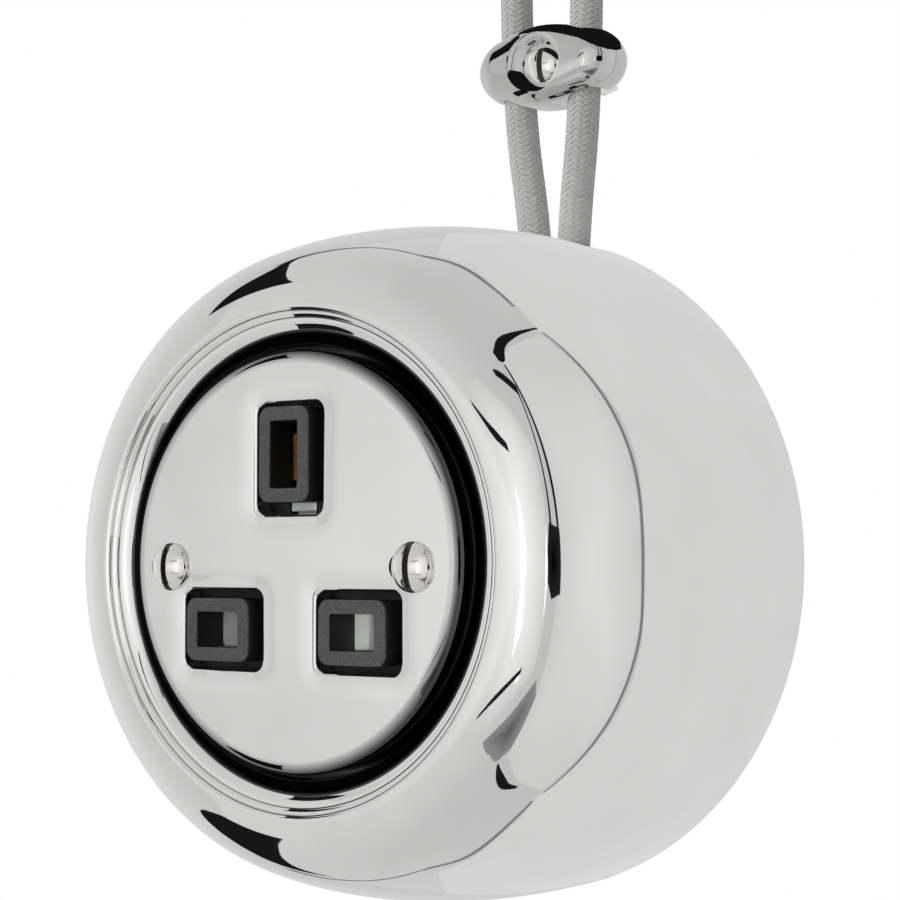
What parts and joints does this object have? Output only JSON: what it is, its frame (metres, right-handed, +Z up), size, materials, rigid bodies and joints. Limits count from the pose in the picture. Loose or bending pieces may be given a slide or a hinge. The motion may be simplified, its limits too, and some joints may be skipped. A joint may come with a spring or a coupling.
{
  "type": "surface socket",
  "caption": "Round wall-mounted mains socket in mirror-lustred porcelain, with a shuttered three-pin outlet and braided cables held above it by a porcelain clip.",
  "frame": {"origin": "centre of the drum's back, on the wall plane, midway between the two wall screws", "axes": "+Y back into the wall, +X right as seen from the front, +Z up; the outlet faces -Y"},
  "size_m": [0.0934, 0.0638, 0.1503],
  "materials": {
    "platinum_lustre": "porcelain with a mirror platinum lustre glaze",
    "plated_screw": "bright nickel-plated steel",
    "black_moulding": "black thermoset moulding, satin",
    "grey_moulding": "pale grey nylon",
    "spring_steel": "drawn spring wire",
    "brass": "bare pressed and turned brass",
    "zinc_steel": "zinc-plated steel",
    "grey_braid": "grey textile braid",
    "bush_rubber": "black rubber",
    "shrink_sleeve": "black heat-shrink tube",
    "live_insulation": "brown insulation",
    "neutral_insulation": "blue insulation",
    "earth_insulation": "green and yellow insulation",
    "tinned_copper": "tinned copper"
  },
  "bodies": {
    "socket": {"porcelain_body": "platinum_lustre", "cover_plate": "platinum_lustre", "cable_clip": "platinum_lustre", "plate_screws": "plated_screw", "clip_screw": "plated_screw", "socket_front": "black_moulding", "socket_base": "black_moulding", "shutter_spring": "spring_steel", "earth_contact": "brass", "live_contact": "brass", "neutral_contact": "brass", "earth_terminal": "brass", "live_terminal": "brass", "neutral_terminal": "brass", "terminal_screws": "zinc_steel", "mounting_bridge": "zinc_steel", "bridge_pillars": "brass", "socket_screws": "zinc_steel", "cable_left": "grey_braid", "cable_right": "grey_braid", "cable_bush": "bush_rubber", "end_sleeves": "shrink_sleeve", "live_cores": "live_insulation", "neutral_cores": "neutral_insulation", "earth_cores": "earth_insulation", "core_ferrules": "tinned_copper", "live_leads": "live_insulation", "neutral_leads": "neutral_insulation", "earth_leads": "earth_insulation", "lead_ferrules": "tinned_copper"},
    "shutter": {"shutter": "grey_moulding"}
  },
  "joints": [
    {"name": "shutter_slide", "type": "slide", "parent": "socket", "child": "shutter", "axis": [0, 0, -1], "range_m": [0, 0.005], "stiffness_N_per_m": 200, "springref_m": -0.004, "deforming": ["shutter_spring"]}
  ]
}
